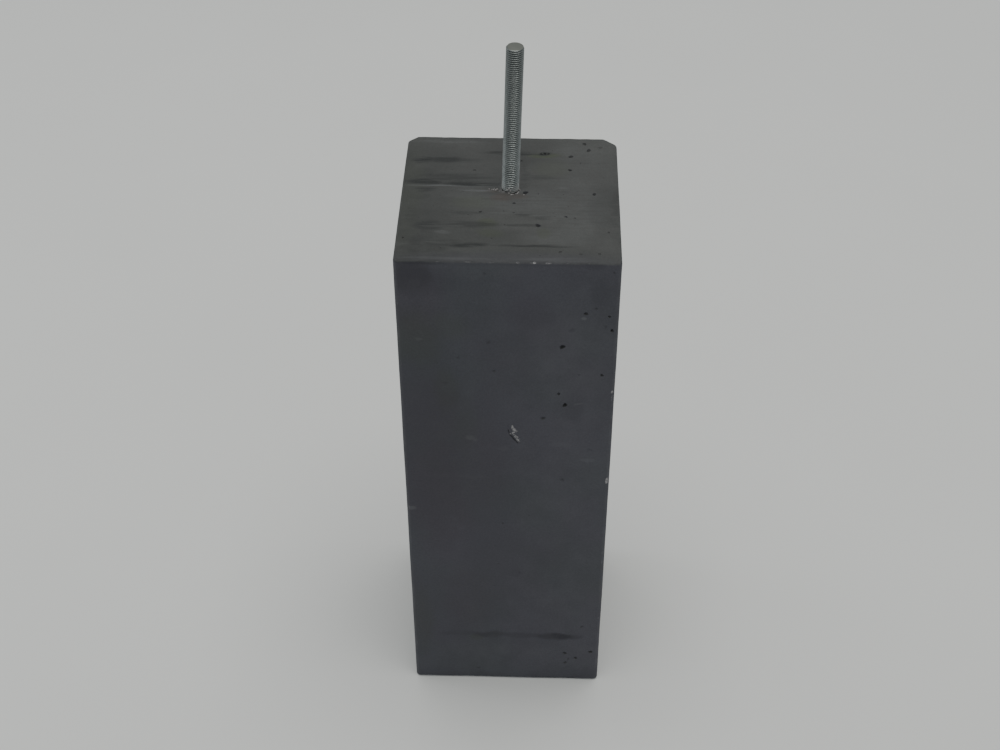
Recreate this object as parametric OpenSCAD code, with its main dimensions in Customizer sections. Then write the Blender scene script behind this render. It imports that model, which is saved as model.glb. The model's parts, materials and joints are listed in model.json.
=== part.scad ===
// Column base block: a cast concrete post footing with a threaded rod set upright in its top.
// Millimetres, +Z up. The origin is the centre of the underside and the front faces -Y.

/* [Block] */

// Width of the block from left to right
block_w = 200; // [120:5:300]
// Depth of the block from front to back
block_d = 200; // [120:5:300]
// Height of the block
block_h = 575; // [300:5:900]
// Radius of the two upright front edges
front_edge_r = 4; // [1:0.5:10]
// Leg of the back left bevel along the back
bevel_left_back = 9; // [3:0.5:20]
// Leg of the back left bevel along the left side
bevel_left_side = 8; // [3:0.5:20]
// Leg of the back right bevel along the back
bevel_right_back = 12; // [3:0.5:20]
// Leg of the back right bevel along the right side
bevel_right_side = 10; // [3:0.5:20]
// Radius of the rims round the top and the underside
rim_r = 2.5; // [0.5:0.5:4]

/* [Threaded rod] */

// Outer diameter of the rod's thread
rod_d = 16; // [10:1:30]
// Pitch of the rod's thread
thread_pitch = 2; // [1:0.25:3]
// Length of rod that stands clear of the block
rod_free = 146; // [60:5:250]
// Length of rod cast into the block
rod_cast_in = 154; // [60:5:250]
// How far the rod stands behind the middle of the block
rod_set_back = 13; // [0:1:30]
// Lean of the rod to the right, in degrees
rod_lean = 1.5; // [0:0.1:3]
// Height of thread above the block's top that cement has filled
cement_fill = 1; // [1:0.5:4]
// Leg of the chamfer on the rod's free end
rod_end_chamfer = 0.75; // [0.25:0.25:2.5]

/* [Hidden] */

// Where cement fills the thread its wall lies at the mean of crest and root
thread_mean_factor = 0.6495;
filled_d = rod_d - thread_mean_factor * thread_pitch;
// Stretch of clean thread between the cement and the end chamfer
clean_length = rod_free - cement_fill - rod_end_chamfer;
round_fn = 96;

// Square outline with rounded corners, centred on the origin
module rounded_outline(w, h, r) {
    square([w - 2 * r, h], center = true);
    square([w, h - 2 * r], center = true);
    for (x = [-1, 1], y = [-1, 1])
        translate([x * (w / 2 - r), y * (h / 2 - r)])
            circle(r = r, $fn = round_fn);
}

// Plan of the block: eased front corners, bevelled back corners
module plan_outline() {
    half_w = block_w / 2;
    half_d = block_d / 2;
    polygon([
        [-half_w, -half_d + front_edge_r],
        [-half_w + front_edge_r, -half_d],
        [half_w - front_edge_r, -half_d],
        [half_w, -half_d + front_edge_r],
        [half_w, half_d - bevel_right_side],
        [half_w - bevel_right_back, half_d],
        [-half_w + bevel_left_back, half_d],
        [-half_w, half_d - bevel_left_side],
    ]);
    for (x = [-1, 1])
        translate([x * (half_w - front_edge_r), -half_d + front_edge_r])
            circle(r = front_edge_r, $fn = round_fn);
}

// Places its children at the rod's foot, with +Z along the leaning rod
module on_rod_axis() {
    translate([0, rod_set_back, block_h])
        rotate([0, rod_lean, 0])
            children();
}

// Cylinder from the rod's buried end up to a height above the block's top
module filled_stretch(above_top) {
    on_rod_axis()
        translate([0, 0, -rod_cast_in])
            cylinder(d = filled_d, h = rod_cast_in + above_top, $fn = round_fn);
}

module block() {
    color([0.23, 0.235, 0.245])
        difference() {
            intersection() {
                linear_extrude(height = block_h)
                    plan_outline();
                translate([0, block_d / 2, block_h / 2])
                    rotate([90, 0, 0])
                        linear_extrude(height = block_d)
                            rounded_outline(block_w, block_h, rim_r);
                translate([-block_w / 2, 0, block_h / 2])
                    rotate([90, 0, 90])
                        linear_extrude(height = block_w)
                            rounded_outline(block_d, block_h, rim_r);
            }
            // The hole runs on past the top, which the lean would otherwise leave part closed
            filled_stretch(rod_d);
        }
}

module threaded_rod() {
    end_d = rod_d - 2 * rod_end_chamfer;
    color([0.66, 0.68, 0.7])
        union() {
            filled_stretch(cement_fill);
            on_rod_axis()
                translate([0, 0, cement_fill])
                    cylinder(d = rod_d, h = clean_length, $fn = round_fn);
            on_rod_axis()
                translate([0, 0, cement_fill + clean_length])
                    cylinder(d1 = rod_d, d2 = end_d, h = rod_end_chamfer, $fn = round_fn);
        }
}

block();
threaded_rod();
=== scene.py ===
"""Column base block: a cast concrete post footing with a threaded rod set upright in its top."""
import json
import math
import random
from collections import namedtuple

import bmesh
import bpy
import numpy as np
from bpy.props import FloatProperty, FloatVectorProperty, IntProperty, PointerProperty
from mathutils import Matrix, Vector, noise
from mathutils.geometry import delaunay_2d_cdt


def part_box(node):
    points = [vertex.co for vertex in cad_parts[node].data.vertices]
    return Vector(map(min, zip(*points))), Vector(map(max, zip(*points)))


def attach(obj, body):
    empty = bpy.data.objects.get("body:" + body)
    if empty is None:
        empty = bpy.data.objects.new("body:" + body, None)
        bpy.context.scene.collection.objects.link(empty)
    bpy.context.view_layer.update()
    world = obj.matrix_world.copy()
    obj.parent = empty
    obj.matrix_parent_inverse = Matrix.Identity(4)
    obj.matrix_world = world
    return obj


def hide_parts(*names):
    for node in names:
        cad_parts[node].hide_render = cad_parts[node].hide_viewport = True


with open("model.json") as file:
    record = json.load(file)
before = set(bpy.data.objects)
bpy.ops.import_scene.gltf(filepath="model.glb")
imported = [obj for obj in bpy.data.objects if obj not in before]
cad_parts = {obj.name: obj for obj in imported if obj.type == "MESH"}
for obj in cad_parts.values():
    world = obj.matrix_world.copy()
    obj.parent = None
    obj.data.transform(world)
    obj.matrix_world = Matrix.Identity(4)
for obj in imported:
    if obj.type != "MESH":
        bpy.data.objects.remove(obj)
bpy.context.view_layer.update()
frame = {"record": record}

bl_info = {
    "name": "Column base block",
    "version": (1, 0, 0),
    "blender": (4, 5, 0),
    "location": "View3D > Sidebar > Column base",
    "description": "Makes a cast concrete column base block with a threaded rod in its top",
    "category": "Add Mesh",
}

MM = 0.001
BLOCK_LOW, BLOCK_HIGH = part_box("block")
ROD_MOUNT = next(m for m in frame["record"]["mounts"] if m["name"] == "rod_end")

# ---- Marks of casting, handling and weather, in millimetres --------------------------------------

Pore = namedtuple("Pore", "across along radius depth")

# On the top face: across is to the right of the middle, along is towards the back
TOP_PORES = [
    Pore(14, 6, 2.1, 2.8), Pore(4, -11, 1.3, 1.5), Pore(26, -45, 2.1, 2.6), Pore(77, 5, 1.6, 1.8),
    Pore(56, 67, 1.9, 1.8), Pore(55, 44, 1.6, 1.7), Pore(69, 89, 1.8, 1.5), Pore(73, 78, 1.9, 1.8),
    Pore(84, 83, 2.0, 0.7), Pore(51, -31, 1.2, 1.4), Pore(59, -33, 1.0, 0.7),
    Pore(-26, -25, 1.3, 1.2), Pore(-34, 42, 1.3, 0.8), Pore(9, 59, 1.4, 1.0),
    Pore(89, -54, 1.1, 0.9), Pore(46, -84, 1.5, 0.8), Pore(64, -87, 1.4, 0.6),
    Pore(80, -86, 1.4, 0.7), Pore(-93, -66, 0.9, 0.8), Pore(4, -26, 0.9, 0.7),
    Pore(28, 70.8, 1.2, 1.3), Pore(31.4, 71.3, 1.3, 1.5), Pore(34.8, 71.2, 1.1, 1.2),
]
# On the front face: across is to the right of the middle, along is down from the top
FRONT_PORES = [
    Pore(50, 95, 2.1, 2.4), Pore(70, 56, 1.6, 1.4), Pore(91, 59, 1.2, 1.1), Pore(94, 75, 1.5, 1.8),
    Pore(88, 71, 2.0, 0.5), Pore(58, 75, 2.6, 0.4), Pore(79, 50, 1.5, 0.6), Pore(87, 128, 1.4, 1.3),
    Pore(48, 152, 1.4, 1.4), Pore(54, 166, 2.0, 2.4), Pore(34, 183, 1.8, 1.1),
    Pore(79, 223, 2.2, 0.4), Pore(54, 264, 2.0, 0.7), Pore(-20, 13, 1.6, 0.4),
    Pore(-17, 91, 1.8, 0.5), Pore(-12, 125, 1.2, 0.6), Pore(-58, 140, 2.0, 0.4),
    Pore(93, 10, 1.2, 0.5), Pore(-45, 110, 1.5, 0.4), Pore(80, 485, 1.6, 0.8),
    Pore(91, 527, 1.8, 1.6), Pore(63, 530, 1.8, 1.5), Pore(75, 538, 1.8, 1.4),
    Pore(67, 540, 1.0, 0.7), Pore(64, 546, 1.6, 1.1), Pore(-31, 558, 1.6, 0.5),
    Pore(-4, 327, 1.2, 0.5), Pore(13, 400, 1.6, 0.4), Pore(22, 315, 1.3, 0.4),
    Pore(66, 128, 1.3, 0.4), Pore(-9, 387, 1.2, 0.4),
]

Ridge = namedtuple("Ridge", "start end along height width")
# Lines that the trowel drew across the top face, raised where height is over zero
TOP_RIDGES = [
    Ridge(-92, -8, 14, 0.5, 1.2), Ridge(-92, -14, 20, -0.35, 1.6), Ridge(-27, 35, 71, -0.45, 1.1),
    Ridge(-88, -22, 59, -0.25, 1.6), Ridge(-15, 28, -46, -0.35, 0.9), Ridge(-22, 34, -27, 0.2, 0.9),
    Ridge(-55, -12, -45, -0.25, 1.4), Ridge(-8, 60, -76, -0.4, 0.9),
    Ridge(-66, -20, -75, -0.35, 1.3), Ridge(26, 38, -33, -0.3, 1.0), Ridge(40, 57, 16, 0.25, 1.0),
    Ridge(-52, -14, 7, 0.35, 1.2),
]

Chip = namedtuple("Chip", "edge at long width depth")
# Along the front top rim, at is to the right of the middle; down an upright edge, it is down from
# the top
CHIPS = [
    Chip("front_rim", 24, 2.6, 1.9, 0.7), Chip("front_rim", 21, 3.0, 1.3, 0.4),
    Chip("front_rim", 35, 6.0, 1.8, 0.45), Chip("front_rim", 9, 3.4, 1.7, 0.42),
    Chip("front_rim", -14, 6.0, 1.1, 0.3), Chip("front_rim", -34, 8.0, 1.3, 0.35),
    Chip("front_rim", 52, 3.0, 1.0, 0.3), Chip("front_rim", -61, 4.0, 1.0, 0.3),
    Chip("front_rim", 71, 2.4, 0.9, 0.3), Chip("front_right", 149, 3.0, 2.4, 0.7),
    Chip("front_right", 157, 10.0, 2.0, 0.4), Chip("front_right", 265, 8.0, 3.6, 0.7),
    Chip("front_right", 369, 4.0, 1.8, 0.35), Chip("front_right", 383, 5.0, 1.8, 0.35),
    Chip("front_right", 471, 3.0, 1.6, 0.4), Chip("front_left", 308, 5.0, 1.8, 0.3),
    Chip("front_left", 48, 4.0, 1.6, 0.3), Chip("front_left", 518, 5.0, 1.8, 0.3),
    Chip("back_right", 90, 6.0, 2.4, 0.6), Chip("back_right", 402, 4.0, 2.0, 0.5),
    Chip("back_left", 214, 6.0, 2.2, 0.6),
]

# A chip this deep shows fresh concrete all over
FRESH_DEPTH = 0.75

# A torn scratch on the front face, stroke by stroke, as (right of the middle, down from the top,
# half width): the pale torn strokes, and the deeper groove beside them, with painted shadow in it
SCRATCH = [
    [
        (5.2, 193.2, 0.7), (4.8, 196.2, 1.2), (6.6, 198.6, 1.9), (8.4, 199.9, 1.6), (6.0, 202.2, 1.6),
        (3.2, 204.8, 1.0),
    ],
    [(6.8, 205.4, 0.9), (9.0, 208.6, 1.8), (10.2, 211.2, 1.4), (11.9, 215.0, 0.7)],
]
SCRATCH_SIDE = [[(1.2, 199.0, 0.5), (3.2, 205.6, 1.0), (6.6, 210.8, 1.0), (10.4, 216.0, 0.4)]]
SCRATCH_DEPTH = 0.55

Stain = namedtuple("Stain", "across along wide long strength")
# Centres and half sizes: on the top face from its middle to the right and to the back; on the tall
# faces from the middle to the right (to the back on the left and right faces) and down from the top.
# Damp streaks, what the trowel burnished, and darkening of the top behind the rod
DARK = {
    "top": [
        Stain(0, 71, 34, 4.5, 1), Stain(31, 71, 10, 4, 1), Stain(-84, 59, 11, 6, 1),
        Stain(-64, 59, 20, 7, 0.85), Stain(-48, 58, 22, 5, 0.5), Stain(-52, 29, 46, 9, 0.62),
        Stain(-80, 22, 22, 7, 1), Stain(-36, 19, 34, 5, 1), Stain(-80, 9, 13, 4.5, 0.75),
        Stain(31, 31, 24, 5, 0.45), Stain(-38, -26, 22, 3.5, 0.45), Stain(30, -33, 10, 4, 0.5),
        Stain(-34, -45, 32, 6.5, 0.65), Stain(-70, -47, 20, 8.5, 0.8),
        Stain(12, -46, 20, 2.5, 0.55), Stain(-38, -76, 21, 4.5, 1), Stain(-60, -72, 17, 6.5, 0.6),
        # Stain(13, 38, ...) on this line and Stain(-13, 32, ...) on the next darken the top behind the
        # rod, on its right and left
        Stain(26, -77, 44, 2.5, 0.8), Stain(13, 38, 6, 24, 0.4), Stain(-88, -32, 10, 16, 0.3),
        Stain(-80, -72, 9, 10, 0.4), Stain(97, -22, 8, 50, 0.3), Stain(-13, 32, 8, 20, 0.15),
        Stain(12, -29, 8, 3, 0.4),
    ],
    "front": [
        Stain(-82, 16, 24, 28, 0.6), Stain(-62, 20, 26, 20, 0.3), Stain(82, 34, 12, 20, 0.26),
        Stain(-18, 501, 24, 5.5, 0.65), Stain(-52, 499, 36, 5, 0.38), Stain(54, 502, 30, 6, 0.95),
        Stain(18, 501, 62, 5, 0.4), Stain(63, 175, 12, 18, 0.22), Stain(45, 376, 26, 22, 0.18),
        Stain(64, 343, 14, 20, 0.12), Stain(8, 400, 10, 10, 0.2), Stain(-60, 160, 18, 24, 0.15),
        Stain(22, 53, 22, 22, 0.12), Stain(-64, 348, 20, 40, 0.15), Stain(-18, 91, 8, 6, 0.15),
        Stain(-76, 220, 54, 170, 0.35), Stain(-82, 497, 24, 8, 0.15), Stain(76, 3, 12, 5, 0.3),
        Stain(-84, 460, 60, 130, 0.14), Stain(-22, 300, 36, 210, 0.19),
    ],
    "back": [
        Stain(30, 240, 50, 60, 0.3), Stain(-40, 470, 46, 50, 0.3), Stain(0, 60, 70, 14, 0.25),
        Stain(0, 562, 90, 12, 0.35),
    ],
    "left": [Stain(20, 90, 40, 44, 0.35), Stain(-30, 380, 34, 80, 0.3), Stain(0, 560, 90, 12, 0.35)],
    "right": [Stain(30, 150, 30, 60, 0.3), Stain(-40, 430, 36, 40, 0.35), Stain(10, 560, 90, 12, 0.35)],
}
# Broad soft darkening
SHADE = {
    "top": [
        Stain(-84, 0, 54, 120, 0.34), Stain(-96, 26, 12, 66, 0.45), Stain(-30, 30, 40, 40, 0.1),
        Stain(-36, -66, 70, 22, 0.37), Stain(-84, -62, 32, 18, 0.5), Stain(-82, -94, 50, 20, 0.5),
        Stain(-10, -90, 90, 22, 0.28), Stain(70, -94, 54, 16, 0.26), Stain(-30, 96, 70, 8, 0.2),
        Stain(84, -18, 18, 44, 0.28), Stain(10, 84, 40, 20, 0.16), Stain(-84, 38, 28, 13, 0.46),
        Stain(-80, -34, 24, 40, 0.42), Stain(12, 64, 46, 13, 0.26), Stain(-76, -82, 32, 11, 0.62),
        Stain(-50, -89, 28, 8, 0.4), Stain(-84, 0, 22, 12, 0.46),
    ],
}
# Faint growth
OLIVE = {
    "top": [
        Stain(31, 68, 18, 5, 0.8), Stain(-20, -42, 12, 8, 0.6), Stain(-18, -57, 13, 8, 0.35),
        Stain(31, -56, 8, 9, 0.35), Stain(38, 46, 20, 18, 0.25), Stain(-30, -10, 24, 12, 0.3),
        Stain(-92, 0, 16, 100, 0.15),
    ],
    "front": [
        Stain(-84, 90, 30, 40, 0.3), Stain(-56, 74, 26, 20, 0.22), Stain(-56, 150, 14, 34, 0.25),
        Stain(-32, 505, 9, 6, 0.3), Stain(-40, 190, 14, 50, 0.12), Stain(-90, 480, 14, 60, 0.25),
    ],
    "back": [Stain(-50, 130, 30, 60, 0.5), Stain(60, 380, 20, 40, 0.4)],
    "left": [Stain(50, 60, 40, 30, 0.5)],
    "right": [Stain(-30, 300, 40, 50, 0.4)],
}
# Lime bloom and scraped lines; the two thin lines along the front rim of the top are partly pale marks
# and partly a painted highlight
PALE = {
    "top": [
        Stain(-56, 15, 52, 1.9, 0.36), Stain(-28, 8.5, 24, 2, 0.38), Stain(60, -16, 36, 60, 0.1),
        Stain(58, 62, 38, 28, 0.08), Stain(2, -26, 26, 2, 0.14), Stain(-58, -57, 9, 3, 0.25),
        Stain(4, -4, 52, 26, 0.15), Stain(42, -62, 40, 16, 0.09), Stain(-16, 8, 54, 22, 0.09),
        Stain(28, -30, 10, 1.8, 0.2), Stain(48, 15, 10, 2.4, 0.2), Stain(-60, 90, 40, 4, 0.15),
        # These two thin lines along the front rim: partly pale marks, partly a painted highlight
        Stain(-52, -96, 48, 3.0, 0.12), Stain(40, -95, 50, 3, 0.12),
    ],
    "front": [
        Stain(60, 110, 50, 70, 0.08), Stain(-35, 211, 5, 4, 0.22), Stain(-31, 213, 4, 3, 0.16),
        Stain(-81, 89, 5, 2, 0.2), Stain(-5, 223, 6, 4, 0.1), Stain(72, 300, 40, 300, 0.045),
        Stain(-30, 8, 60, 14, 0.07), Stain(0, 545, 120, 44, 0.09), Stain(67, 166, 5, 1.6, 0.3),
        Stain(52, 217, 14, 5, 0.12), Stain(76, 236, 10, 3, 0.18), Stain(-94, 309, 6, 4, 0.45),
        Stain(56, 299, 56, 60, 0.05), Stain(60, 447, 50, 50, 0.04), Stain(69, 62, 2.4, 2.4, 0.5),
        Stain(80, 537, 30, 30, 0.06), Stain(-46, 262, 44, 3, 0.04),
    ],
    "back": [Stain(-20, 330, 60, 50, 0.15)],
    "left": [Stain(10, 220, 50, 40, 0.15)],
    "right": [Stain(0, 260, 50, 60, 0.15)],
}
# Formed concrete along the front of the top face, where the trowel didn't reach
FORMED = {"top": [Stain(0, -97, 130, 14, 0.9)]}
# Faint violet cast
PLUM = {
    "front": [
        Stain(-66, 290, 40, 110, 0.8), Stain(-30, 250, 40, 70, 0.5), Stain(-40, 440, 36, 60, 0.4),
        Stain(20, 60, 24, 30, 0.3), Stain(-82, 42, 32, 60, 0.6), Stain(-70, 180, 34, 60, 0.55),
    ],
    "back": [Stain(40, 300, 40, 90, 0.5)],
    "right": [Stain(10, 220, 40, 80, 0.5)],
}
# Rust that ran from the rod
RUST = {"top": [Stain(-5, -2, 13, 8, 0.3), Stain(8, 0, 10, 6, 0.25), Stain(-14, 8, 8, 4, 0.2)]}

# Crumbs of cement left round the rod's foot: right of the rod, behind it, above the top, and size
CRUMBS = [
    (-15.4, -3.2, 0.2, 1.1), (-13.2, -3.9, 0.3, 1.2), (-12.0, -2.4, 0.3, 0.8),
    (-17.0, -2.6, 0.1, 0.6), (-9.4, -5.6, 0.1, 0.6), (-7.2, -6.8, 0.2, 0.8), (-5.6, -8.4, 0.1, 0.7),
    (-2.4, -8.0, 3.4, 1.1), (-1.0, -8.1, 4.8, 1.3), (0.2, -8.3, 2.4, 0.9), (-1.2, -8.9, 0.5, 0.9),
    (1.2, -10.9, 0.1, 0.9), (2.6, -10.4, 0.1, 0.6), (7.2, -7.4, 0.3, 1.0), (6.4, -9.0, 0.1, 0.7),
    (8.8, -3.6, 0.4, 0.6), (-19.4, -2.2, 0.1, 0.5), (-14.2, -1.2, 0.2, 0.5),
    (12.6, -11.0, 0.2, 0.8), (-6.0, 7.9, 0.3, 1.0), (2.0, 9.2, 0.2, 0.8),
]


# Panels of light: place and size in metres
Panel = namedtuple("Panel", "name place size tint")
OVERHEAD_LAMP = Panel("key_lamp", (0.3, 0.0, 5.2), (3.2, 3.2), (1.0, 0.985, 0.95))
LEFT_LAMP = Panel("side_lamp", (-2.6, 0.6, 1.4), (0.8, 1.6), (0.95, 0.97, 1.0))
SKY_TINT = (0.94, 0.97, 1.0, 1.0)


# ---- Settings ------------------------------------------------------------------------------------

def length(name, description, default):
    """A setting that is a length"""
    return FloatProperty(
        name=name, description=description, default=default, min=0.0, unit="LENGTH", precision=4
    )


def number(name, description, default, **kind):
    """A setting that is a strength, an angle or a focal length"""
    return FloatProperty(name=name, description=description, default=default, **kind)


def count(name, description, default, least=0):
    """A setting that is a whole number"""
    return IntProperty(name=name, description=description, default=default, min=least)


def colour(name, description, default):
    """A setting that is a colour"""
    return FloatVectorProperty(
        name=name, description=description, default=default, size=3, min=0.0, max=1.0, subtype="COLOR"
    )


class BlockSettings(bpy.types.PropertyGroup):
    """Sizes and finish of the cast block"""

    width: length("Width", "Width from left to right", BLOCK_HIGH.x - BLOCK_LOW.x)
    depth: length("Depth", "Depth from front to back", BLOCK_HIGH.y - BLOCK_LOW.y)
    height: length("Height", "Height of the block", BLOCK_HIGH.z - BLOCK_LOW.z)
    front_edge: length("Front edges", "Radius of the two upright front edges", 0.004)
    left_bevel_back: length("Left bevel, back", "Leg of the back left bevel along the back", 0.009)
    left_bevel_side: length("Left bevel, side", "Leg of the back left bevel along the side", 0.008)
    right_bevel_back: length("Right bevel, back", "Leg of the back right bevel along the back", 0.012)
    right_bevel_side: length("Right bevel, side", "Leg of the back right bevel along the side", 0.010)
    bevel_soft: length("Bevel softness", "Radius where a bevel meets a face, over the rim's", 0.0027)
    worn_bevel: length("Worn bevel", "Radius where the right bevel meets the right side", 0.008)
    rim: length("Rim", "Radius of the rims round the top and the underside", 0.0025)
    mesh_step: length("Mesh step", "Distance between mesh points on a plain face", 0.004)
    unevenness: length("Unevenness", "Depth of the slow waves that the mould left", 0.0002)
    edge_wear: length("Edge wear", "Depth of the wear along edges", 0.0005)
    lip: length("Cement lip", "Height of the cement lip round the rod", 0.0011)
    hidden_pores: count("Pores", "Pores on each side that faces away", 16)
    fine_pores: count("Fine pores", "Fine pores on each side that faces away", 26)
    seed: count("Seed", "Changes the places of what is scattered", 11)
    concrete: colour("Concrete", "Dry smooth face", (0.0622, 0.0638, 0.0745))
    # The top face's colour: greener and less blue than the tall faces'
    top_concrete: colour("Top concrete", "Weathered top face", (0.0625, 0.0648, 0.0621))
    damp: colour("Damp", "Dark stains and burnished trowel streaks", (0.013, 0.015, 0.014))
    side_damp: colour("Side damp", "Dark stains on the tall faces", (0.018, 0.018, 0.026))
    formed: colour("Formed", "Smooth concrete along the front of the top", (0.0597, 0.0604, 0.0645))
    plum: colour("Plum", "Faint violet cast", (0.0625, 0.0575, 0.0700))
    olive: colour("Olive", "Faint growth", (0.050, 0.060, 0.036))
    # Also the colour of the painted highlight along the front rim of the top
    bloom_and_highlight: colour("Bloom", "Pale lime bloom", (0.150, 0.155, 0.160))
    fresh: colour("Fresh break", "Chipped and scratched concrete", (0.42, 0.41, 0.41))
    crumbled: colour("Crumbled cement", "Crumbs round the rod's foot", (0.56, 0.53, 0.51))
    rust: colour("Rust", "Rust that the rod bled", (0.085, 0.056, 0.042))


class RodSettings(bpy.types.PropertyGroup):
    """Sizes and finish of the threaded rod"""

    diameter: length("Diameter", "Outer diameter of the thread", 2 * ROD_MOUNT["dims"]["r_mm"] * MM)
    pitch: length("Pitch", "Pitch of the thread", 0.002)
    free_length: length("Free length", "Length that stands clear of the block", 0.146)
    cast_length: length("Cast-in length", "Length inside the block", 0.154)
    end_chamfer: length("End chamfer", "Leg of the chamfer on the free end", 0.00075)
    steps: count("Steps", "Mesh points round one turn of the thread", 40, least=12)
    zinc: colour("Zinc", "Zinc plating", (0.34, 0.365, 0.355))
    sawn: colour("Sawn steel", "The rod's cut end", (0.185, 0.194, 0.176))
    tarnish: colour("Tarnish", "Dull patches and thread roots", (0.07, 0.083, 0.080))
    rust: colour("Rust", "Rust at the foot", (0.13, 0.055, 0.025))
    cement: colour("Cement", "Cement splashed on the foot", (0.30, 0.30, 0.29))


class StudioSettings(bpy.types.PropertyGroup):
    """Floor, lights and camera"""

    floor_size: length("Floor", "Side of the square floor", 24.0)
    floor_colour: colour("Floor colour", "Plain pale floor", (0.74, 0.75, 0.725))
    world_light: number("World", "Strength of the even light", 0.52, min=0.0)
    key_light: number("Key", "Power of the large lamp overhead", 128.0, min=0.0)
    fill_light: number("Fill", "Power of the lamp on the left", 6.0, min=0.0)
    lens: number("Lens", "Focal length", 56.02, unit="CAMERA")
    camera_right: length("Camera right", "Distance right of the block's middle", 0.0263)
    camera_back: length("Camera back", "Distance in front of the block's front", 1.0773)
    camera_rise: length("Camera rise", "Height above the block's top", 0.8116)
    pitch: number("Pitch", "Downward tilt", math.radians(41.134), subtype="ANGLE")
    yaw: number("Yaw", "Turn to the left", math.radians(1.743), subtype="ANGLE")
    roll: number("Roll", "Turn about the view", math.radians(-0.142), subtype="ANGLE")


class ColumnBaseSettings(bpy.types.PropertyGroup):
    """All settings of the column base block"""

    block: PointerProperty(type=BlockSettings)
    rod: PointerProperty(type=RodSettings)
    studio: PointerProperty(type=StudioSettings)


# ---- The block's plan and flat patterns ----------------------------------------------------------

class PlanOutline:
    """The block's plan as lines and arcs, measured anticlockwise from the middle of the back, in mm"""

    ARC_STEPS = 6
    # Beside an arc, a line has one more point, this share of a step along
    BESIDE_ARC = 0.35
    # Places tried when the nearest one is looked for
    TRIES = 20001
    # Two pieces both hold a point that is this near to where they meet
    SLACK = 1e-9

    def __init__(self, start, corners):
        """corners holds (x, y, radius) in the order in which the outline meets them"""
        self.pieces = []
        self.length = 0.0
        at = np.array(start, float)
        places = [np.array(c[:2], float) for c in corners]
        for i, (x, y, radius) in enumerate(corners):
            corner = places[i]
            after = places[i + 1] if i + 1 < len(places) else np.array(start, float)
            way_in = (corner - at) / np.linalg.norm(corner - at)
            way_out = (after - corner) / np.linalg.norm(after - corner)
            turn = math.acos(float(np.clip(way_in @ way_out, -1, 1)))
            trim = radius * math.tan(turn / 2)
            self.add_line(at, corner - way_in * trim)
            normal = np.array([way_in[1], -way_in[0]])
            self.add_arc(corner - way_in * trim - normal * radius, radius, normal, turn)
            at = corner + way_out * trim
        self.add_line(at, np.array(start, float))

    def add_line(self, a, b):
        """A straight piece from a to b"""
        size = float(np.linalg.norm(b - a))
        line = {"kind": "line", "from": self.length, "length": size}
        line.update({"start": a, "way": (b - a) / size})
        self.pieces.append(line)
        self.length += size

    def add_arc(self, centre, radius, normal, turn):
        """A round piece that starts where normal points and goes on anticlockwise by turn"""
        angle = math.atan2(normal[1], normal[0])
        arc = {"kind": "arc", "from": self.length, "length": radius * turn}
        arc.update({"centre": centre, "radius": radius, "angle": angle})
        self.pieces.append(arc)
        self.length += radius * turn

    def at(self, s):
        """Places, outward normals and bends: 0 on a line, and 1 midway round an arc"""
        s = np.clip(s, 0, self.length)
        place = np.zeros((len(s), 2))
        normal = np.zeros((len(s), 2))
        bend = np.zeros(len(s))
        for piece in self.pieces:
            start, end = piece["from"], piece["from"] + piece["length"]
            on = (s >= start - self.SLACK) & (s <= end + self.SLACK)
            run = (s[on] - start)[:, None]
            if piece["kind"] == "line":
                place[on] = piece["start"] + piece["way"] * run
                normal[on] = (piece["way"][1], -piece["way"][0])
                bend[on] = 0.0
            else:
                angle = piece["angle"] + run[:, 0] / piece["radius"]
                normal[on] = np.stack([np.cos(angle), np.sin(angle)], 1)
                place[on] = piece["centre"] + piece["radius"] * normal[on]
                bend[on] = np.sin(math.pi * run[:, 0] / piece["length"])
        return place, normal, bend

    def steps(self, step):
        """Distances along the outline: even on lines, close together round arcs"""
        found = []
        for piece in self.pieces:
            arc = piece["kind"] == "arc"
            parts = self.ARC_STEPS if arc else max(2, round(piece["length"] / step))
            found += [piece["from"] + piece["length"] * k / parts for k in range(parts)]
            if piece["kind"] == "line":
                beside = self.BESIDE_ARC * step
                found += [piece["from"] + beside, piece["from"] + piece["length"] - beside]
        return np.unique(np.round(found + [self.length], 4))

    def nearest(self, x, y):
        """Distance along the outline of the point nearest to a place"""
        s = np.linspace(0, self.length, self.TRIES)
        place = self.at(s)[0]
        return float(s[np.argmin(((place - (x, y)) ** 2).sum(1))])


class Pattern:
    """A flat pattern of points, kept dense where there is detail, that is bent onto the block"""

    def __init__(self, points, fixed):
        """fixed marks the points of the pattern's border, which details never move"""
        self.points = points
        self.fixed = fixed

    def add_round(self, points, centre, clear):
        """Adds points in place of free ones within clear, a radius or two half sizes, of the centre"""
        self.add(points, np.hypot(*((self.points - centre) / clear).T) < 1)

    def add(self, points, inside):
        """Adds points in place of the free ones that inside marks"""
        keep = ~inside | self.fixed
        self.points = np.concatenate([self.points[keep], points])
        self.fixed = np.concatenate([self.fixed[keep], np.zeros(len(points), bool)])

    def triangles(self):
        """The pattern's points and the triangles between them, inside its border"""
        border = np.nonzero(self.fixed)[0]
        off = self.points[border] - self.points[border].mean(0)
        border = border[np.argsort(np.arctan2(off[:, 1], off[:, 0]))].tolist()
        points = [Vector(p) for p in self.points]
        _, _, faces, sources, _, _ = delaunay_2d_cdt(points, [], [border], 1, 1e-6)
        return self.points[[source[0] for source in sources]], np.array([tuple(f) for f in faces])


# Gap between the rows of a hexagonal grid, over the gap between its points
HEX_ROW = 0.866


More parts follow.
